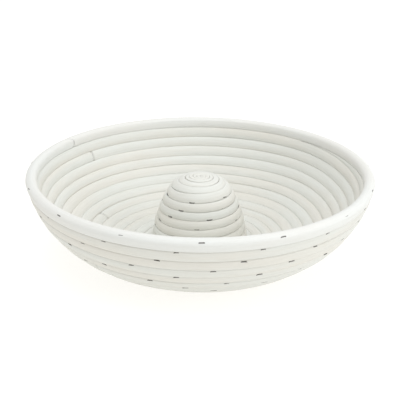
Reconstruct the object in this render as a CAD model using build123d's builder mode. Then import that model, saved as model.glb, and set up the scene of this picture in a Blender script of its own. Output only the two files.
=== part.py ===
"""Ring banneton: a proofing basket coiled from lengths of rattan cane that wire staples hold together.

The bowl's wall is one arc in section, tangent to a narrow flat floor, and a hollow cone stands in its
middle. Every length of cane is a solid of its own. The origin is the centre of the base and +Z is up.
"""

import os
from math import cos, pi, radians, sin

from build123d import *

# Driving dimensions, in millimetres and degrees.
OUTER_DIAMETER = 250.0
CANE_THICKNESS = 7.2  # through the wall
TURN_PITCH = 8.3  # along the wall, from one turn of cane to the next
CANE_ROUNDING = 2.9
WALL_ARC_RADIUS = 76.5  # of the line through the cane's centres
RIM_LEAN = 14.2  # the wall's angle from vertical at the rim
WALL_TURNS = 13
BASE_TRIM = 0.3  # sanded off the floor's underside, so that the basket stands flat

CONE_HEIGHT = 58.8
CONE_THICKNESS = 6.6
CONE_PITCH = 6.2
CONE_ROUNDING = 2.6
CONE_FLAT_RADIUS = 5.5  # of the level middle of its top
CONE_SHOULDER_RADIUS = 17.5
CONE_SHOULDER_TURN = 62.0  # how far the shoulder's arc turns down from level
CONE_HOLE_RADIUS = 0.6
CONE_FOOT_HEIGHT = 0.1  # clear of the plane that the basket stands on

TURN_GAP = 0.2  # left between neighbouring turns
THIN_END = 0.9  # height left at a tapered end
SPLICE_GAP = 0.15

# A bowl turn runs level, then climbs onto the next one within a short stretch on the right.
CLIMB_START_ANGLE = -30.0
CLIMB_SHARE = 80.0 / 360.0
CONE_START_ANGLE = -111.0
RIM_SPLICE_ANGLE = 150.0
RIM_SCARF_ANGLE = 55.0  # of the oblique cut where the rim's two ends meet

STAPLE_CROWN = 5.0
STAPLE_LEG = 11.0
STAPLE_WIRE = 0.9
STAPLE_LEAN = 15.0
STAPLE_SPACING = 50.0
CONE_STAPLE_LEG = 8.0
CONE_STAPLE_ANGLE = 63.0
CONE_FIRST_STAPLE = 3.445  # in turns from the cone's top
FIRST_STAPLE_ANGLE = -137.0
STAPLE_SHIFT = 17.0  # from one turn's staples to the next turn's

# Where each length of cane begins and ends, in turns: the bowl's from the floor, the cone's from its top.
# The last number is the sections in each turn that it is lofted through.
BOWL_CANES = {
    "floor_cane": (0.85, 6.30, 30),
    "lower_wall_cane": (6.30, 9.50, 18),
    "middle_wall_cane": (9.50, 12.25, 24),
    "upper_wall_cane": (12.25, 13.93, 24),
}
CONE_CANES = {"cone_top_cane": (0.25, 6.40, 30), "cone_skirt_cane": (6.40, 12.0, 30)}

# Worked out from the driving dimensions.
LEAN = radians(RIM_LEAN)
CORNER_OUT = CANE_THICKNESS / 2 - CANE_ROUNDING
CORNER_UP = (TURN_PITCH - TURN_GAP) / 2 - CANE_ROUNDING
RIM_RADIUS = OUTER_DIAMETER / 2 - CANE_ROUNDING - CORNER_OUT * cos(LEAN) - CORNER_UP * sin(LEAN)
FLOOR_RADIUS = RIM_RADIUS - WALL_ARC_RADIUS * cos(LEAN)
FLOOR_LEVEL = CANE_THICKNESS / 2 - BASE_TRIM
WALL_LENGTH = WALL_ARC_RADIUS * (pi / 2 - LEAN)
RIM_SEAM = TURN_PITCH / 2
FLOOR_END = RIM_SEAM + WALL_TURNS * TURN_PITCH

CONE_BEND = radians(CONE_SHOULDER_TURN)
CONE_TOP_LEVEL = CONE_HEIGHT - CONE_THICKNESS / 2
CONE_BEND_LEVEL = CONE_TOP_LEVEL - CONE_SHOULDER_RADIUS * (1 - cos(CONE_BEND))
CONE_BEND_LENGTH = CONE_FLAT_RADIUS + CONE_SHOULDER_RADIUS * CONE_BEND
CONE_SIDE_RADIUS = (CONE_BEND_LEVEL - CONE_FOOT_HEIGHT) / cos(CONE_BEND)
CONE_LENGTH = CONE_BEND_LENGTH + CONE_SIDE_RADIUS * (pi / 2 - CONE_BEND)

os.makedirs("parts", exist_ok=True)


def save(piece, name):
    piece.part.label = name
    export_step(piece.part, f"parts/{name}.step")
    print(name, "solids", len(piece.part.solids()), "volume", round(piece.part.volume))


def section_plane(radius, height, slope, angle, scarf=0.0):
    """A plane across the cane, square to it or turned by the scarf's angle.

    Its x runs out of the wall, which leans from vertical by the slope.
    """
    turn, tilt = radians(angle), radians(scarf)
    outward = Vector(cos(slope) * cos(turn), cos(slope) * sin(turn), -sin(slope))
    along = Vector(-sin(turn), cos(turn), 0)
    return Plane(
        origin=(radius * cos(turn), radius * sin(turn), height),
        x_dir=outward * cos(tilt) + along * sin(tilt),
        z_dir=along * cos(tilt) - outward * sin(tilt),
    )


# The bowl


def wall_place(length):
    """Radius, height and slope, at a length down the wall from the rim's centre."""
    if length > WALL_LENGTH:
        return FLOOR_RADIUS - (length - WALL_LENGTH), FLOOR_LEVEL, pi / 2
    slope = LEAN + length / WALL_ARC_RADIUS
    radius = FLOOR_RADIUS + WALL_ARC_RADIUS * cos(slope)
    return radius, FLOOR_LEVEL + WALL_ARC_RADIUS * (1 - sin(slope)), slope


def climb(turns):
    """Pitches climbed so far: none while a turn runs level, then a smooth rise at its end."""
    whole = turns // 1
    rise = max((turns - whole - 1) / CLIMB_SHARE + 1, 0.0)
    return whole + rise * rise * (3 - 2 * rise)


def bowl_angle(turns):
    return CLIMB_START_ANGLE + 360 * (turns + CLIMB_SHARE)


def bowl_turn(turns):
    """Length down the wall to the cane's centre, and the cane's height, thinned at both ends."""
    top = max(FLOOR_END - TURN_PITCH * climb(turns), RIM_SEAM)
    foot = min(FLOOR_END - TURN_PITCH * climb(turns - 1), FLOOR_END)
    return (top + foot) / 2, max(foot - top - TURN_GAP, THIN_END)


def bowl_plane(turns):
    return section_plane(*wall_place(bowl_turn(turns)[0]), bowl_angle(turns))


# The cone


def cone_place(length):
    """Radius, height and slope, at a length down the cone from its axis."""
    if length < CONE_FLAT_RADIUS:
        return length, CONE_TOP_LEVEL, -pi / 2
    if length < CONE_BEND_LENGTH:
        turn = (length - CONE_FLAT_RADIUS) / CONE_SHOULDER_RADIUS
        radius = CONE_FLAT_RADIUS + CONE_SHOULDER_RADIUS * sin(turn)
        return radius, CONE_TOP_LEVEL - CONE_SHOULDER_RADIUS * (1 - cos(turn)), turn - pi / 2
    turn = CONE_BEND + (length - CONE_BEND_LENGTH) / CONE_SIDE_RADIUS
    bend_radius = CONE_FLAT_RADIUS + CONE_SHOULDER_RADIUS * sin(CONE_BEND)
    radius = bend_radius + CONE_SIDE_RADIUS * (sin(turn) - sin(CONE_BEND))
    return radius, CONE_FOOT_HEIGHT + CONE_SIDE_RADIUS * cos(turn), turn - pi / 2


def cone_angle(turns):
    return CONE_START_ANGLE - 360 * turns


def cone_turn(turns):
    """Length down the cone to the cane's centre, and the cane's height, thinned at both ends."""
    top = max(CONE_HOLE_RADIUS + CONE_PITCH * (turns - 1), CONE_HOLE_RADIUS)
    foot = min(CONE_HOLE_RADIUS + CONE_PITCH * turns, CONE_LENGTH)
    return (top + foot) / 2, max(foot - top - TURN_GAP, THIN_END)


def cone_plane(turns):
    return section_plane(*cone_place(cone_turn(turns)[0]), cone_angle(turns))


# Lengths of cane


def coil_sections(canes, name, plane, turn):
    """The plane and the cane's height at each section that one length of cane is lofted through."""
    first, last, sections_per_turn = canes[name]
    last -= SPLICE_GAP / (2 * pi * plane(last).origin.length)
    count = round((last - first) * sections_per_turn)
    for i in range(count + 1):
        turns = first + (last - first) * i / count
        yield plane(turns), turn(turns)[1]


def rounding(most, height):
    return min(most, 0.42 * height)


with BuildPart() as rim_cane:
    with BuildSketch(section_plane(*wall_place(0), RIM_SPLICE_ANGLE)):
        RectangleRounded(CANE_THICKNESS, TURN_PITCH - TURN_GAP, CANE_ROUNDING)
    revolve(axis=Axis.Z)
    with BuildSketch(section_plane(*wall_place(0), RIM_SPLICE_ANGLE, RIM_SCARF_ANGLE)):
        Rectangle(3 * CANE_THICKNESS, 2 * TURN_PITCH)
    extrude(amount=SPLICE_GAP, mode=Mode.SUBTRACT)
save(rim_cane, "rim_cane")

for name in BOWL_CANES:
    with BuildPart() as cane:
        for plane, height in coil_sections(BOWL_CANES, name, bowl_plane, bowl_turn):
            with BuildSketch(plane):
                RectangleRounded(CANE_THICKNESS, height, rounding(CANE_ROUNDING, height))
        loft()
        if name == "floor_cane":
            split(bisect_by=Plane.XY, keep=Keep.TOP)
    save(cane, name)

for name in CONE_CANES:
    with BuildPart() as cane:
        for plane, height in coil_sections(CONE_CANES, name, cone_plane, cone_turn):
            with BuildSketch(plane):
                RectangleRounded(CONE_THICKNESS, height, rounding(CONE_ROUNDING, height))
        loft()
    save(cane, name)


# Staples, each driven through a corner of one turn into the turn wound before it


def staple_plane(section, thickness, height, corner, side):
    """The plane of a staple's U, whose legs run along -y; the side is 1 above a turn and -1 below."""
    lean = radians(STAPLE_LEAN)
    inset = corner * (1 - cos(pi / 4))
    out, down = section.x_dir, section.y_dir
    crown = out * (thickness / 2 - inset) - down * (height / 2 - inset) * side
    return Plane(
        origin=section.origin + crown,
        x_dir=section.z_dir,
        z_dir=out * cos(lean) * side + down * sin(lean),
    )


def turn_angles(radius, turns_below_rim):
    """Evenly spaced angles round one turn, shifted from those of the turn above."""
    count = round(2 * pi * radius / STAPLE_SPACING)
    first = FIRST_STAPLE_ANGLE + STAPLE_SHIFT * turns_below_rim
    return [first + 360 * i / count for i in range(count)]


def rim_staple_planes():
    for angle in turn_angles(RIM_RADIUS, 0):
        section = section_plane(*wall_place(0), angle)
        yield staple_plane(section, CANE_THICKNESS, TURN_PITCH - TURN_GAP, CANE_ROUNDING, 1)


def bowl_staple_planes(number):
    radius = wall_place(bowl_turn(number)[0])[0]
    for angle in turn_angles(radius, WALL_TURNS + 1 - number):
        turns = number + (angle - bowl_angle(0)) / 360 % 1
        height = bowl_turn(turns)[1]
        if height > 2 * CANE_ROUNDING:
            yield staple_plane(bowl_plane(turns), CANE_THICKNESS, height, CANE_ROUNDING, 1)


def cone_staple_planes(first, last):
    turns = CONE_FIRST_STAPLE
    while turns < min(last, CONE_LENGTH / CONE_PITCH):
        if turns > first:
            height = cone_turn(turns)[1]
            yield staple_plane(cone_plane(turns), CONE_THICKNESS, height, CONE_ROUNDING, -1)
        turns += CONE_STAPLE_ANGLE / 360


def staple(leg):
    with BuildPart() as wire:
        with BuildSketch():
            Rectangle(STAPLE_CROWN, leg, align=(Align.CENTER, Align.MAX))
            with Locations((0, -STAPLE_WIRE)):
                hollow = STAPLE_CROWN - 2 * STAPLE_WIRE
                Rectangle(hollow, leg, align=(Align.CENTER, Align.MAX), mode=Mode.SUBTRACT)
        extrude(amount=STAPLE_WIRE / 2, both=True)
        fillet(wire.edges().filter_by(Axis.Z).group_by(Axis.Y)[-1], 0.6 * STAPLE_WIRE)
    return wire.part


def staple_row(planes, leg, name):
    with BuildPart() as row:
        with Locations(*planes):
            add(staple(leg))
    save(row, name)


staple_row(rim_staple_planes(), STAPLE_LEG, "rim_staples")
for number in range(1, WALL_TURNS + 1):
    staple_row(bowl_staple_planes(number), STAPLE_LEG, f"bowl_staples_turn_{number:02d}")
for name, (first, last, _) in CONE_CANES.items():
    staples_name = name.replace("cane", "staples")
    staple_row(cone_staple_planes(first, last), CONE_STAPLE_LEG, staples_name)
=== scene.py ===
"""Ring banneton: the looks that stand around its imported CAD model.

Every length of cane is a rod swept along its coil: fibrous, slightly uneven, and pressed against its
neighbours. Each staple is a bent wire driven into a seam. Everything is in metres, +Z up.
"""

from math import ceil, cos, pi, radians, sin, tan

import bpy
import numpy as np
from mathutils import Matrix, Vector


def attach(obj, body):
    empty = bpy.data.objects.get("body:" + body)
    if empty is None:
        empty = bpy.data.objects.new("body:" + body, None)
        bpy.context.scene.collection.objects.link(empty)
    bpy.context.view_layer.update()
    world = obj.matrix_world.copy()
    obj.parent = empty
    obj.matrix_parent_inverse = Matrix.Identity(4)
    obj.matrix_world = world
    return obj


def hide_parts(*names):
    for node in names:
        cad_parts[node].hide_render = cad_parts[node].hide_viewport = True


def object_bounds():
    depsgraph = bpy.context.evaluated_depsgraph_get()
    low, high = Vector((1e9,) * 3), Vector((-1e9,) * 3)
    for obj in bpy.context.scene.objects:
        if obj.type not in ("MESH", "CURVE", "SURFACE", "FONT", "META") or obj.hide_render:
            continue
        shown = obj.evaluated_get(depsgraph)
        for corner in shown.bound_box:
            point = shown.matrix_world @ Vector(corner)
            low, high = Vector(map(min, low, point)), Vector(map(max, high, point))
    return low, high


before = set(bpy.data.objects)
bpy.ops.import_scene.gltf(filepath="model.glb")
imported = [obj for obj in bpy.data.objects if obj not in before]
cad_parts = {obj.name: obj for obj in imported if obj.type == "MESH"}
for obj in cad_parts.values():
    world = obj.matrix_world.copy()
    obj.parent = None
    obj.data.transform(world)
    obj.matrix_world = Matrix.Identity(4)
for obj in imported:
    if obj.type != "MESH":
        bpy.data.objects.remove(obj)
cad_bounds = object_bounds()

MM = 0.001

# The coil's driving dimensions, the same as the CAD model's.
OUTER_DIAMETER = 250 * MM
CANE_THICKNESS = 7.2 * MM  # through the wall
TURN_PITCH = 8.3 * MM  # along the wall, from one turn of cane to the next
CANE_ROUNDING = 2.9 * MM
WALL_ARC_RADIUS = 76.5 * MM
RIM_LEAN = 14.2  # degrees
WALL_TURNS = 13
BASE_TRIM = 0.3 * MM

CONE_HEIGHT = 58.8 * MM
CONE_THICKNESS = 6.6 * MM
CONE_PITCH = 6.2 * MM
CONE_FLAT_RADIUS = 5.5 * MM
CONE_SHOULDER_RADIUS = 17.5 * MM
CONE_SHOULDER_TURN = 62.0
CONE_HOLE_RADIUS = 0.6 * MM
CONE_FOOT_HEIGHT = 0.1 * MM

BASKET_HEIGHT = 65 * MM

TURN_GAP = 0.04 * MM  # pressed closer than the CAD model's turns
CAD_TURN_GAP = 0.2 * MM
WORN_ROUNDING = 0.7 * MM  # of the cane's corners where turns press together
CANE_CROWN = 0.85 * MM  # how far its faces bulge
THIN_END = 0.35 * MM  # height left at a tapered end
SPLICE_GAP = 0.15 * MM

CLIMB_START_ANGLE = -30.0
CLIMB_SHARE = 80.0 / 360.0
CONE_START_ANGLE = -111.0
RIM_SPLICE_ANGLE = 150.0
RIM_SCARF_ANGLE = 55.0
SCARF_REACH = 24 * MM

# Where each length of cane begins and ends, in turns from the floor, and from the cone's top.
BOWL_CANES = {
    "floor_cane": (0.85, 6.30),
    "lower_wall_cane": (6.30, 9.50),
    "middle_wall_cane": (9.50, 12.25),
    "upper_wall_cane": (12.25, 13.99),
}
CONE_CANES = {"cone_top_cane": (-2.5, 6.40), "cone_skirt_cane": (6.40, 12.0)}

STAPLE_CROWN = 5.0 * MM
STAPLE_LEG = 11.0 * MM
STAPLE_WIRE = 0.9 * MM
STAPLE_LEAN = 15.0
STAPLE_SPACING = 50.0 * MM
CONE_STAPLE_LEG = 8.0 * MM
CONE_STAPLE_ANGLE = 63.0
CONE_FIRST_STAPLE = 3.445
FIRST_STAPLE_ANGLE = -137.0
STAPLE_SHIFT = 17.0
STAPLE_POINT = 1.6 * MM
STAPLE_SINK = 0.40 * MM  # into the seam, where the cane's face falls away
RIM_STAPLE_SINK = 0.12 * MM
STAPLE_TILT = 5.0  # at most, to either side
STAPLE_STRAY = (1.5 * MM, 0.12 * MM, 0.15 * MM)  # at most, along the cane, into it and across it

# Worked out from the driving dimensions.
LEAN = radians(RIM_LEAN)
CORNER_OUT = CANE_THICKNESS / 2 - CANE_ROUNDING
CORNER_UP = (TURN_PITCH - CAD_TURN_GAP) / 2 - CANE_ROUNDING
RIM_RADIUS = OUTER_DIAMETER / 2 - CANE_ROUNDING - CORNER_OUT * cos(LEAN) - CORNER_UP * sin(LEAN)
FLOOR_RADIUS = RIM_RADIUS - WALL_ARC_RADIUS * cos(LEAN)
FLOOR_LEVEL = CANE_THICKNESS / 2 - BASE_TRIM
WALL_LENGTH = WALL_ARC_RADIUS * (pi / 2 - LEAN)
RIM_SEAM = TURN_PITCH / 2
FLOOR_END = RIM_SEAM + WALL_TURNS * TURN_PITCH

CONE_BEND = radians(CONE_SHOULDER_TURN)
CONE_TOP_LEVEL = CONE_HEIGHT - CONE_THICKNESS / 2
CONE_BEND_LEVEL = CONE_TOP_LEVEL - CONE_SHOULDER_RADIUS * (1 - cos(CONE_BEND))
CONE_BEND_RADIUS = CONE_FLAT_RADIUS + CONE_SHOULDER_RADIUS * sin(CONE_BEND)
CONE_BEND_LENGTH = CONE_FLAT_RADIUS + CONE_SHOULDER_RADIUS * CONE_BEND
CONE_SIDE_RADIUS = (CONE_BEND_LEVEL - CONE_FOOT_HEIGHT) / cos(CONE_BEND)
CONE_LENGTH = CONE_BEND_LENGTH + CONE_SIDE_RADIUS * (pi / 2 - CONE_BEND)

# The cone's cane starts pared thin, and twists from lying flat to standing on the shoulder.
THIN_PITCH = 2.4 * MM
THIN_LAST_TURN = 1.3
THICKENING_TURNS = 1.0
CONE_WORN_ROUNDING = 0.5 * MM
CONE_TWIST = 3.0  # degrees
TWIST_TURNS = (0, 1.7, 2.3, 3.0, 3.8)
TWIST_SHARES = (-1, -1, 1, 1, 0)
CONE_BEND_EASE = 2 * MM  # before and after each end of the shoulder

# How uneven the basket is.
SEAM_WANDER = 0.45 * MM  # shared by all turns, since each follows the one below
TURN_WANDER = 0.30 * MM  # of each turn's own
TURN_STEP = 0.22 * MM  # how far one turn stands proud of the next
FIBRE_HEIGHT = 0.045 * MM
LUMP_HEIGHT = 0.10 * MM
OUT_OF_ROUND = 0.35 * MM
RIM_SWAY = 0.30 * MM
END_WEAR = 0.10  # of a cane's thickness and height, at its very end
CONE_WANDER_SHARE = 0.6
# How fast each of these changes, in cells per turn.
TURN_WANDER_RATE = 6.3
PROUD_RATE = 5.1
CONE_WANDER_RATE = 4.7
CONE_PROUD_RATE = 3.9
CONE_PROUD_START = 30
FIBRE_PITCH = 45 * MM  # along the cane
LUMP_PITCH = 38 * MM
LUMPS_AROUND = 5
CROWN_BALANCE = 0.35  # the share of the bulge that stands past the cane's thickness

# The meshes' fineness.
STATION_LENGTH = 2.0 * MM
LEAST_STATIONS = 72  # in one turn
END_EASE = 0.8 * MM  # of the rounding at a cane's ends
CORNER_STEPS = 11
SIDE_STEPS = 6
TOP_STEPS = 4
BEND_STEPS = 6
WIRE_STEPS = 12

# Colours
WARM_CANE = (0.70, 0.685, 0.63, 1)
COOL_CANE = (0.69, 0.70, 0.66, 1)
SHADED_CANE = (0.63, 0.62, 0.56, 1)
VESSEL = (0.52, 0.49, 0.42, 1)
# A lighter, cooler cane colour and the share of it mixed into the rim: a painted highlight on the rim, which
# faces the lights.
PAINTED_HIGHLIGHT_CANE = (0.80, 0.815, 0.82, 1)
RIM_PAINTED_HIGHLIGHT = 0.3
BRIGHT_WIRE = (0.22, 0.215, 0.205, 1)
DARK_WIRE = (0.09, 0.08, 0.07, 1)

CAMERA_ELEVATION = radians(20.85)
CAMERA_DISTANCE = 0.700
CAMERA_ROLL = radians(0.74)
CAMERA_LENS = 86.877  # mm, on a sensor 36 mm wide
CAMERA_SHIFT = (-0.00075, -0.06875)
AIM_BELOW_RIM = 3.7 * MM


# Unevenness


def wave(count, seed):
    """A smooth random line between -1 and 1 that repeats after count cells."""
    knots = np.random.default_rng(seed).uniform(-1, 1, count)

    def at(x):
        cell = np.floor(x).astype(int)
        share = x - cell
        share = share * share * (3 - 2 * share)
        return knots[cell % count] * (1 - share) + knots[(cell + 1) % count] * share

    return at


seam_wave = wave(7, 11)
seam_ripple = wave(19, 12)
turn_wave = wave(97, 13)
proud_wave = wave(83, 14)
cone_wave = wave(61, 15)
round_wave = wave(5, 16)
sway_wave = wave(4, 17)


def seam_wander(angle):
    circle = angle / 360 % 1
    return SEAM_WANDER * (0.7 * seam_wave(7 * circle) + 0.3 * seam_ripple(19 * circle))


def settle(points):
    """The whole basket is a little out of round, and its rim rises and falls."""
    circle = np.arctan2(points[..., 1], points[..., 0]) / (2 * pi) % 1
    reach = np.hypot(points[..., 0], points[..., 1])
    share = np.clip(reach / RIM_RADIUS, 0, 1) ** 2
    scale = 1 + share * OUT_OF_ROUND * round_wave(5 * circle) / np.maximum(reach, MM)
    height = points[..., 2] + share * RIM_SWAY * sway_wave(4 * circle) * points[..., 2] / BASKET_HEIGHT
    return np.stack([points[..., 0] * scale, points[..., 1] * scale, height], -1)


# The bowl's coil


def wall_place(length):
    """Radius, height and slope, at a length down the wall from the rim's centre."""
    slope = LEAN + np.minimum(length, WALL_LENGTH) / WALL_ARC_RADIUS
    radius = FLOOR_RADIUS + WALL_ARC_RADIUS * np.cos(slope) - np.maximum(length - WALL_LENGTH, 0)
    return radius, FLOOR_LEVEL + WALL_ARC_RADIUS * (1 - np.sin(slope)), slope


def climb(turns):
    """Pitches climbed so far: none while a turn runs level, then a smooth rise at its end."""
    whole = np.floor(turns)
    rise = np.maximum((turns - whole - 1) / CLIMB_SHARE + 1, 0)
    return whole + rise * rise * (3 - 2 * rise)


def bowl_angle(turns):
    return CLIMB_START_ANGLE + 360 * (turns + CLIMB_SHARE)


def bowl_seam(turns):
    """Length down the wall to the seam above a turn, which wanders a little."""
    own = np.clip(WALL_TURNS - turns, 0, 1) * TURN_WANDER * turn_wave(TURN_WANDER_RATE * turns)
    return FLOOR_END - TURN_PITCH * climb(turns) + own


def bowl_turn(turns):
    """Length down the wall to the cane's centre, and the cane's height, thinned at both ends."""
    top = np.maximum(bowl_seam(turns), RIM_SEAM)
    foot = np.minimum(bowl_seam(turns - 1), FLOOR_END)
    return (top + foot) / 2, np.maximum(foot - top - TURN_GAP, THIN_END)


def wall_bend(length):
    """How sharply the wall curves: each section widens this much outward, to meet its neighbours."""
    return np.clip((WALL_LENGTH - length) / TURN_PITCH, 0, 1) / WALL_ARC_RADIUS


def cad_turn(turns):
    """The CAD cane's centre and height, which settle how many staples a turn holds, and where."""
    top = max(FLOOR_END - TURN_PITCH * climb(turns), RIM_SEAM)
    foot = min(FLOOR_END - TURN_PITCH * climb(turns - 1), FLOOR_END)
    return (top + foot) / 2, foot - top - CAD_TURN_GAP


def bowl_station(turns):
    length, height = bowl_turn(turns)
    angle = bowl_angle(turns)
    proud = TURN_STEP * proud_wave(PROUD_RATE * turns)
    return *wall_place(length + seam_wander(angle)), angle, height, proud, wall_bend(length)


# The cone's coil


def cone_place(length):
    """Radius, height and slope, at a length down the cone from its axis."""
    bend = np.clip((length - CONE_FLAT_RADIUS) / CONE_SHOULDER_RADIUS, 0, CONE_BEND)
    turn = CONE_BEND + (length - CONE_BEND_LENGTH) / CONE_SIDE_RADIUS
    on_side = length > CONE_BEND_LENGTH
    side_radius = CONE_BEND_RADIUS + CONE_SIDE_RADIUS * (np.sin(turn) - sin(CONE_BEND))
    top_radius = np.minimum(length, CONE_FLAT_RADIUS) + CONE_SHOULDER_RADIUS * np.sin(bend)
    side_height = CONE_FOOT_HEIGHT + CONE_SIDE_RADIUS * np.cos(turn)
    top_height = CONE_TOP_LEVEL - CONE_SHOULDER_RADIUS * (1 - np.cos(bend))
    return (
        np.where(on_side, side_radius, top_radius),
        np.where(on_side, side_height, top_height),
        np.where(on_side, turn, bend) - pi / 2,
    )


def cone_angle(turns):
    return CONE_START_ANGLE - 360 * turns


def cone_seam(turns):
    """Length down the cone to the seam below a turn: the thin start takes several close turns."""
    share = np.clip((turns - THIN_LAST_TURN) / THICKENING_TURNS, 0, 1)
    missing = THICKENING_TURNS * (0.5 - share**3 + share**4 / 2)
    missing = missing + np.maximum(THIN_LAST_TURN - turns, 0)
    wander = TURN_WANDER * CONE_WANDER_SHARE * cone_wave(CONE_WANDER_RATE * turns)
    own = np.clip(turns / 2 - 0.5, 0, 1) * wander
    return CONE_HOLE_RADIUS + CONE_PITCH * turns + (CONE_PITCH - THIN_PITCH) * missing + own


def cone_twist(turns):
    """How far a section leans from the cone's own slope, in radians."""
    return radians(CONE_TWIST) * np.interp(turns, TWIST_TURNS, TWIST_SHARES)


def cone_turn(turns):
    """Length down the cone to the cane's centre, and the cane's height, thinned at both ends."""
    top = np.maximum(cone_seam(turns - 1), CONE_HOLE_RADIUS)
    foot = np.minimum(cone_seam(turns), CONE_LENGTH)
    return (top + foot) / 2, np.maximum(foot - top - TURN_GAP, THIN_END)


def cone_bend(length):
    """How sharply the cone curves: none on the flat top, most on the shoulder."""
    ends = CONE_FLAT_RADIUS, CONE_BEND_LENGTH
    lengths = [end + ease for end in ends for ease in (-CONE_BEND_EASE, CONE_BEND_EASE)]
    shoulder, side = 1 / CONE_SHOULDER_RADIUS, 1 / CONE_SIDE_RADIUS
    return np.interp(length, lengths, [0, shoulder, shoulder, side])


def cone_station(turns):
    length, height = cone_turn(turns)
    radius, level, slope = cone_place(length)
    proud = TURN_STEP * cone_wave(CONE_PROUD_START + CONE_PROUD_RATE * turns)
    twisted = slope + cone_twist(turns)
    return radius, level, twisted, cone_angle(turns), height, proud, cone_bend(length)


# Sweeping a cane


def outline():
    """A rounded rectangle's points: the place of each one's corner centre, and its direction from it."""
    centres, directions = [], []
    for corner, (across, up) in enumerate([(1, 1), (-1, 1), (-1, -1), (1, -1)]):
        for i in range(CORNER_STEPS):
            turn = pi / 2 * (corner + i / CORNER_STEPS)
            centres.append((across, up))
            directions.append((cos(turn), sin(turn)))
        steps = TOP_STEPS if corner % 2 == 0 else SIDE_STEPS
        turn = pi / 2 * (corner + 1)
        along = (-across, up) if corner % 2 == 0 else (across, -up)
        for i in range(steps):
            share = i / steps
            centres.append(tuple(a + (b - a) * share for a, b in zip((across, up), along)))
            directions.append((cos(turn), sin(turn)))
    return np.array(centres, float), np.array(directions)


CENTRES, DIRECTIONS = outline()
POINTS_AROUND = len(CENTRES)


def fibres(along, seed):
    """Ridges that run along a cane: they change fast around it and slowly along it."""
    rng = np.random.default_rng(seed)
    cells = POINTS_AROUND // 2
    total = np.zeros((len(along), POINTS_AROUND))
    ridges = (cells, FIBRE_PITCH, FIBRE_HEIGHT), (LUMPS_AROUND, LUMP_PITCH, LUMP_HEIGHT)
    for count, pitch, height in ridges:
        knots = rng.uniform(-1, 1, (int(along[-1] / pitch) + 2, count))
        row = along / pitch
        cell = np.floor(row).astype(int)
        share = (row - cell)[:, None]
        share = share * share * (3 - 2 * share)
        line = knots[cell] * (1 - share) + knots[cell + 1] * share
        place = np.arange(POINTS_AROUND) * count / POINTS_AROUND
        start = np.floor(place).astype(int)
        blend = place - start
        blend = blend * blend * (3 - 2 * blend)
        total += height * (line[:, start] * (1 - blend) + line[:, (start + 1) % count] * blend)
    return total


def evenly(station, first, last):
    """Turns at even steps along the cane, closer where it winds tightly, and the length up to each."""
    dense = np.linspace(first, last, 4000)
    radius = station(dense)[0]
    step = 2 * pi * radius * np.gradient(dense)
    length = np.concatenate([[0], np.cumsum((step[1:] + step[:-1]) / 2)])
    density = np.maximum(2 * pi * radius / STATION_LENGTH, LEAST_STATIONS) * np.gradient(dense)
    count = np.concatenate([[0], np.cumsum((density[1:] + density[:-1]) / 2)])
    turns = np.interp(np.linspace(0, count[-1], ceil(count[-1])), count, dense)
    return turns, np.interp(turns, dense, length)


def sweep(name, turns, along, station, thickness, rounding, seed, shear=None):
    """One length of cane as a closed mesh, worn at its ends; the rounding is the upper, then the lower."""
    radius, height_up, slope, angle, height, proud, bend = station(turns)
    slope, angle = slope[:, None], np.radians(angle)[:, None]
    upper, lower = rounding
    corner = lower + (upper - lower) * (CENTRES[:, 1] + 1) / 2
    corner = np.minimum(corner, 0.42 * height[:, None])
    ends = np.minimum(along, along[-1] - along)
    ease = 1 - np.clip(1 - ends / END_EASE, 0, 1) ** 2
    worn = 1 - END_WEAR * (1 - ease)[:, None]
    relief = fibres(along, seed) * ease[:, None]
    across = CENTRES[:, 0] * (thickness / 2 - corner) + DIRECTIONS[:, 0] * (corner + relief)
    up = CENTRES[:, 1] * (height[:, None] / 2 - corner) + DIRECTIONS[:, 1] * (corner + relief)
    crown = CANE_CROWN * np.minimum(height / thickness, 1)[:, None] ** 2
    across += CENTRES[:, 0] * crown * (CROWN_BALANCE - (up / (height[:, None] / 2)) ** 2)
    across, up = across * worn + proud[:, None], up * worn * (1 + np.maximum(across, 0) * bend[:, None])
    if shear is not None:
        angle = angle + shear[:, None] * across / radius[:, None]
    reach = radius[:, None] + across * np.cos(slope) + up * np.sin(slope)
    level = height_up[:, None] - across * np.sin(slope) + up * np.cos(slope)
    points = np.stack([reach * np.cos(angle), reach * np.sin(angle), np.maximum(level, 0)], -1)
    straight = np.stack(np.broadcast_arrays(along[:, None], across, up), -1)
    if angle[-1, 0] > angle[0, 0]:
        points, straight = points[:, ::-1], straight[:, ::-1]
    return cane_object(name, points, straight)


def cane_object(name, points, straight):
    stations = len(points)
    ring = np.arange(POINTS_AROUND)
    start = np.arange(stations - 1)[:, None] * POINTS_AROUND
    following = (ring + 1) % POINTS_AROUND
    quads = np.stack(
        [start + ring, start + following, start + POINTS_AROUND + following, start + POINTS_AROUND + ring],
        -1,
    ).reshape(-1, 4)
    count = stations * POINTS_AROUND
    last = count - POINTS_AROUND
    first_cap = np.stack([following, ring, np.full(POINTS_AROUND, count)], -1)
    last_cap = np.stack([last + ring, last + following, np.full(POINTS_AROUND, count + 1)], -1)
    places = np.concatenate([points.reshape(-1, 3), [points[0].mean(0)], [points[-1].mean(0)]])
    mesh = bpy.data.meshes.new(name)
    faces = quads.tolist() + first_cap.tolist() + last_cap.tolist()
    mesh.from_pydata(settle(places).tolist(), [], faces)
    straight = np.concatenate([straight.reshape(-1, 3), [straight[0].mean(0)], [straight[-1].mean(0)]])
    attribute = mesh.attributes.new("straight", "FLOAT_VECTOR", "POINT")
    attribute.data.foreach_set("vector", straight.astype(np.float32).ravel())
    mesh.shade_smooth()
    piece = bpy.data.objects.new(name, mesh)
    bpy.context.scene.collection.objects.link(piece)
    return piece


def coil_cane(name, canes, station, thickness, rounding, seed):
    first, last = canes[name]
    turns, along = evenly(station, first, last - SPLICE_GAP / (2 * pi * station(last)[0]))
    return sweep(name, turns, along, station, thickness, (rounding, rounding), seed)


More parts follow.
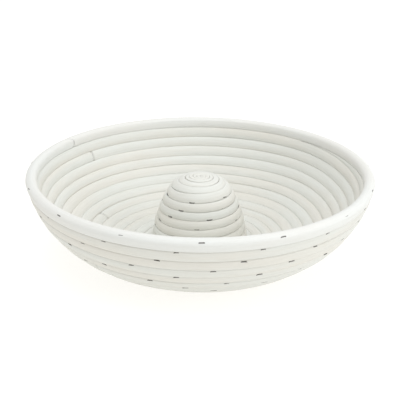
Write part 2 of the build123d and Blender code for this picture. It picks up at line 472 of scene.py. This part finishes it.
def rim_station(turns):
    angle = RIM_SPLICE_ANGLE + 360 * turns
    shift = seam_wander(angle)
    proud = TURN_STEP * 0.5 * seam_ripple(19 * turns)
    height = TURN_PITCH - TURN_GAP + shift
    return *wall_place(shift / 2), angle, height, proud, wall_bend(shift)


def rim_cane():
    """A ring whose two ends meet at an oblique cut."""
    last = 1 - SPLICE_GAP / cos(radians(RIM_SCARF_ANGLE)) / (2 * pi * RIM_RADIUS)
    turns, along = evenly(rim_station, 0, last)
    ends = np.minimum(along, along[-1] - along)
    shear = tan(radians(RIM_SCARF_ANGLE)) * np.clip(1 - ends / SCARF_REACH, 0, 1) ** 2
    rounding = CANE_ROUNDING, WORN_ROUNDING
    return sweep("rim_cane", turns, along, rim_station, CANE_THICKNESS, rounding, 30, shear)


# Staples


def section_axes(station, turns):
    """The centre of a cane's section, and the ways out of the wall, up it and along the cane."""
    radius, height_up, slope, angle, height, proud, bend = station(np.float64(turns))
    turn = radians(angle)
    outward = np.array([cos(slope) * cos(turn), cos(slope) * sin(turn), -sin(slope)])
    up = np.array([sin(slope) * cos(turn), sin(slope) * sin(turn), cos(slope)])
    along = np.array([-sin(turn), cos(turn), 0])
    centre = np.array([radius * cos(turn), radius * sin(turn), height_up]) + outward * proud
    return centre, outward, up, along, height, bend


def staple_axes(station, turns, thickness, corner, side, sink):
    """A staple's place and axes, its legs along -y; the side is 1 above a turn and -1 below it."""
    centre, outward, up, along, height, bend = section_axes(station, turns)
    lean = radians(STAPLE_LEAN)
    inset = corner * (1 - cos(pi / 4))
    reach = thickness / 2 - inset - sink
    crown = centre + outward * reach + up * (height / 2 - inset) * (1 + reach * bend) * side
    z_axis = outward * cos(lean) * side - up * sin(lean)
    return crown, along, np.cross(z_axis, along), z_axis


def turn_angles(radius, turns_below_rim):
    count = round(2 * pi * radius / STAPLE_SPACING)
    first = FIRST_STAPLE_ANGLE + STAPLE_SHIFT * turns_below_rim
    return [first + 360 * i / count for i in range(count)]


def rim_staples():
    for angle in turn_angles(RIM_RADIUS, 0):
        turns = (angle - RIM_SPLICE_ANGLE) / 360 % 1
        yield staple_axes(rim_station, turns, CANE_THICKNESS, CANE_ROUNDING, 1, RIM_STAPLE_SINK)


def bowl_staples(number):
    radius = wall_place(cad_turn(number)[0])[0]
    for angle in turn_angles(radius, WALL_TURNS + 1 - number):
        turns = number + (angle - bowl_angle(0)) / 360 % 1
        if cad_turn(turns)[1] > 2 * CANE_ROUNDING:
            yield staple_axes(bowl_station, turns, CANE_THICKNESS, WORN_ROUNDING, 1, STAPLE_SINK)


def cone_staples(first, last):
    turns = CONE_FIRST_STAPLE
    while turns < min(last, CONE_LENGTH / CONE_PITCH):
        if turns > first:
            yield staple_axes(cone_station, turns, CONE_THICKNESS, CONE_WORN_ROUNDING, -1, STAPLE_SINK)
        turns += CONE_STAPLE_ANGLE / 360


def staple_line(leg):
    """Half of a staple's bent wire, from the crown's middle to a leg's tip: x, y and the wire's direction."""
    bend = 0.9 * STAPLE_WIRE
    reach = (STAPLE_CROWN - STAPLE_WIRE) / 2
    places = [(0, 0, 0), (reach - bend, 0, 0)]
    for i in range(1, BEND_STEPS + 1):
        turn = pi / 2 * i / BEND_STEPS
        places.append((reach - bend + bend * sin(turn), bend * (cos(turn) - 1), turn))
    places.append((reach, STAPLE_POINT - leg, pi / 2))
    places.append((reach, -leg, pi / 2))
    return places


def staple_wire(leg):
    """A bent wire's points, ring by ring, about the middle of its crown's top."""
    half = staple_line(leg)
    line = [(-x, y, -turn) for x, y, turn in reversed(half[1:])] + half
    rings = []
    for i, (x, y, turn) in enumerate(line):
        size = STAPLE_WIRE / 2 * (0.25 if i in (0, len(line) - 1) else 1)
        for j in range(WIRE_STEPS):
            around = 2 * pi * j / WIRE_STEPS
            blunt = max(abs(cos(around)), abs(sin(around))) ** 0.6
            rise, depth = size * cos(around) / blunt, size * sin(around) / blunt
            rings.append((x + rise * sin(turn), y - STAPLE_WIRE / 2 + rise * cos(turn), depth))
    return np.array(rings)


def staple_group(node, places, leg, seed):
    """Every staple in one CAD node, each a little askew."""
    rng = np.random.default_rng(seed)
    wire = staple_wire(leg)
    rings = len(wire) // WIRE_STEPS
    vertices, faces = [], []
    for crown, x_axis, y_axis, z_axis in places:
        tilt = radians(rng.uniform(-STAPLE_TILT, STAPLE_TILT))
        shift = rng.uniform(-1, 1, 3) * np.array(STAPLE_STRAY)
        skewed_x = x_axis * cos(tilt) + z_axis * sin(tilt)
        skewed_z = z_axis * cos(tilt) - x_axis * sin(tilt)
        local = wire + shift
        start = len(vertices)
        world = crown + local[:, :1] * skewed_x + local[:, 1:2] * y_axis + local[:, 2:] * skewed_z
        world[:, 2] = np.maximum(world[:, 2], 0)
        vertices += settle(world).tolist()
        for ring in range(rings - 1):
            for j in range(WIRE_STEPS):
                a, b = start + ring * WIRE_STEPS + j, start + ring * WIRE_STEPS + (j + 1) % WIRE_STEPS
                faces.append((a, b, b + WIRE_STEPS, a + WIRE_STEPS))
        faces.append([start + j for j in range(WIRE_STEPS)][::-1])
        faces.append([start + (rings - 1) * WIRE_STEPS + j for j in range(WIRE_STEPS)])
    mesh = bpy.data.meshes.new(node + "_wires")
    mesh.from_pydata(vertices, [], faces)
    mesh.shade_smooth()
    piece = bpy.data.objects.new(node + "_wires", mesh)
    bpy.context.scene.collection.objects.link(piece)
    finish_piece(piece, node, steel)


# Materials


class Nodes:
    """A material's nodes, added one by one and joined by their sockets."""

    def __init__(self, name):
        self.material = bpy.data.materials.new(name)
        self.material.use_nodes = True
        self.tree = self.material.node_tree
        self.shader = self.tree.nodes["Principled BSDF"]

    def add(self, kind, settings=None, **inputs):
        node = self.tree.nodes.new("ShaderNode" + kind)
        for key, value in (settings or {}).items():
            setattr(node, key, value)
        for key, value in inputs.items():
            self.put(node.inputs[key.replace("_", " ")], value)
        return node

    def put(self, socket, value):
        if isinstance(value, bpy.types.NodeSocket):
            self.tree.links.new(value, socket)
        else:
            socket.default_value = value

    def noise(self, place, scale, detail=3.0, roughness=0.55):
        """Noise between 0 and 1 whose grain is 1 / scale metres along each axis of the place."""
        mapped = self.add("Mapping", {"vector_type": "POINT"}, Vector=place, Scale=scale)
        vector = mapped.outputs["Vector"]
        node = self.add("TexNoise", None, Vector=vector, Scale=1.0, Detail=detail, Roughness=roughness)
        return node.outputs["Fac"]

    def span(self, value, low, high, to_low, to_high):
        names = ("From Min", "From Max", "To Min", "To Max")
        node = self.add("MapRange", {"interpolation_type": "SMOOTHSTEP"}, Value=value)
        for key, number in zip(names, (low, high, to_low, to_high)):
            node.inputs[key].default_value = number
        return node.outputs["Result"]

    def mix(self, share, first, second):
        node = self.add("Mix", {"data_type": "RGBA"})
        self.put(node.inputs["Factor"], share)
        self.put(node.inputs[6], first)
        self.put(node.inputs[7], second)
        return node.outputs[2]

    def bump(self, height, distance, strength, normal=None):
        node = self.add("Bump", None, Height=height, Distance=distance, Strength=strength)
        if normal:
            self.put(node.inputs["Normal"], normal)
        return node.outputs["Normal"]


def cane_material(name, seed, painted_highlight=0):
    """Pale peeled rattan: fine fibres along it, slow changes of tone, darker vessels, and, where asked, a
    lighter, cooler colour mixed in as a painted highlight.
    """
    nodes = Nodes(name)
    attribute = nodes.add("Attribute", {"attribute_name": "straight"})
    offset = nodes.add("Mapping", {"vector_type": "POINT"}, Vector=attribute.outputs["Vector"])
    offset.inputs["Location"].default_value = (3.1 * seed, 0.7 * seed, 0.3 * seed)
    place = offset.outputs["Vector"]
    tone = nodes.noise(place, (9, 90, 90), 2.0)
    fibre = nodes.noise(place, (70, 1900, 1900), 3.0)
    vessel = nodes.noise(place, (45, 3200, 3200), 1.0)
    grain = nodes.noise(place, (900, 4200, 4200), 2.0)
    colour = nodes.mix(nodes.span(tone, 0.35, 0.65, 0, 1), WARM_CANE, COOL_CANE)
    colour = nodes.mix(nodes.span(fibre, 0.35, 0.75, 0, 0.45), colour, SHADED_CANE)
    colour = nodes.mix(nodes.span(vessel, 0.66, 0.78, 0, 0.35), colour, VESSEL)
    # Painted highlight: the whole colour is mixed towards a lighter, cooler white.
    if painted_highlight:
        colour = nodes.mix(painted_highlight, colour, PAINTED_HIGHLIGHT_CANE)
    nodes.put(nodes.shader.inputs["Base Color"], colour)
    nodes.put(nodes.shader.inputs["Roughness"], nodes.span(fibre, 0.3, 0.7, 0.52, 0.68))
    nodes.shader.inputs["Specular IOR Level"].default_value = 0.35
    coarse = nodes.bump(fibre, 0.12 * MM, 0.5)
    nodes.put(nodes.shader.inputs["Normal"], nodes.bump(grain, 0.04 * MM, 0.35, coarse))
    return nodes.material


def steel_material():
    """Staple wire: dull grey steel with darker, rougher patches."""
    nodes = Nodes("dull_steel_wire")
    place = nodes.add("TexCoord").outputs["Object"]
    patch = nodes.noise(place, (900, 900, 900), 3.0)
    scratch = nodes.noise(place, (5200, 5200, 1400), 2.0)
    colour = nodes.mix(nodes.span(patch, 0.4, 0.65, 0, 1), BRIGHT_WIRE, DARK_WIRE)
    nodes.put(nodes.shader.inputs["Base Color"], colour)
    nodes.shader.inputs["Metallic"].default_value = 0.8
    nodes.put(nodes.shader.inputs["Roughness"], nodes.span(patch, 0.35, 0.7, 0.38, 0.62))
    nodes.put(nodes.shader.inputs["Normal"], nodes.bump(scratch, 0.03 * MM, 0.4))
    return nodes.material


def finish_piece(piece, node, material):
    piece.data.materials.append(material)
    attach(piece, "root")
    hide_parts(node)


steel = steel_material()
for number, name in enumerate(BOWL_CANES):
    cane = coil_cane(name, BOWL_CANES, bowl_station, CANE_THICKNESS, WORN_ROUNDING, 20 + number)
    cane.name = "fibrous_" + name
    finish_piece(cane, name, cane_material(name + "_rattan", number))
for number, name in enumerate(CONE_CANES):
    cane = coil_cane(name, CONE_CANES, cone_station, CONE_THICKNESS, CONE_WORN_ROUNDING, 40 + number)
    cane.name = "fibrous_" + name
    finish_piece(cane, name, cane_material(name + "_rattan", 10 + number))
rim = rim_cane()
rim.name = "fibrous_rim_cane"
# The rim's material carries the painted highlight.
finish_piece(rim, "rim_cane", cane_material("rim_cane_rattan", 20, RIM_PAINTED_HIGHLIGHT))

staple_group("rim_staples", rim_staples(), STAPLE_LEG, 50)
for number in range(1, WALL_TURNS + 1):
    node = f"bowl_staples_turn_{number:02d}"
    staple_group(node, bowl_staples(number), STAPLE_LEG, 50 + number)
for name, (first, last) in CONE_CANES.items():
    staple_group(name.replace("cane", "staples"), cone_staples(first, last), CONE_STAPLE_LEG, 70)


# Floor, light and camera

bpy.ops.mesh.primitive_plane_add(size=8)
floor = bpy.context.object
floor.name = "floor"
paper = Nodes("white_paper")
paper.shader.inputs["Base Color"].default_value = (0.35, 0.35, 0.35, 1)
paper.shader.inputs["Roughness"].default_value = 0.9
paper.shader.inputs["Emission Color"].default_value = (1, 0.985, 0.95, 1)
paper.shader.inputs["Emission Strength"].default_value = 0.74
floor.data.materials.append(paper.material)

world = bpy.data.worlds.new("white_studio")
world.use_nodes = True
world.node_tree.nodes["Background"].inputs["Color"].default_value = (1, 1, 1, 1)
world.node_tree.nodes["Background"].inputs["Strength"].default_value = 0.78
bpy.context.scene.world = world


def soft_light(name, location, size, energy):
    lamp = bpy.data.lights.new(name, "AREA")
    lamp.size = size
    lamp.energy = energy
    lamp.color = (0.96, 0.975, 1.0)
    light = bpy.data.objects.new(name, lamp)
    light.location = location
    light.rotation_euler = (-Vector(location)).to_track_quat("-Z", "Y").to_euler()
    bpy.context.scene.collection.objects.link(light)


soft_light("overhead_softbox", (0.0, -0.15, 1.1), 1.0, 6)
soft_light("right_softbox", (1.1, -0.5, 0.5), 0.8, 4.5)

aim = Vector((0, 0, cad_bounds[1][2] - AIM_BELOW_RIM))
back = Vector((0, -cos(CAMERA_ELEVATION), sin(CAMERA_ELEVATION)))
lens = bpy.data.cameras.new("camera")
lens.sensor_width = 36
lens.lens = CAMERA_LENS
lens.shift_x, lens.shift_y = CAMERA_SHIFT
camera = bpy.data.objects.new("camera", lens)
bpy.context.scene.collection.objects.link(camera)
facing = (-back).to_track_quat("-Z", "Y").to_matrix().to_4x4()
place = Matrix.Translation(aim + back * CAMERA_DISTANCE)
camera.matrix_world = place @ facing @ Matrix.Rotation(CAMERA_ROLL, 4, "Z")
bpy.context.scene.camera = camera
bpy.context.scene.view_settings.view_transform = "Standard"
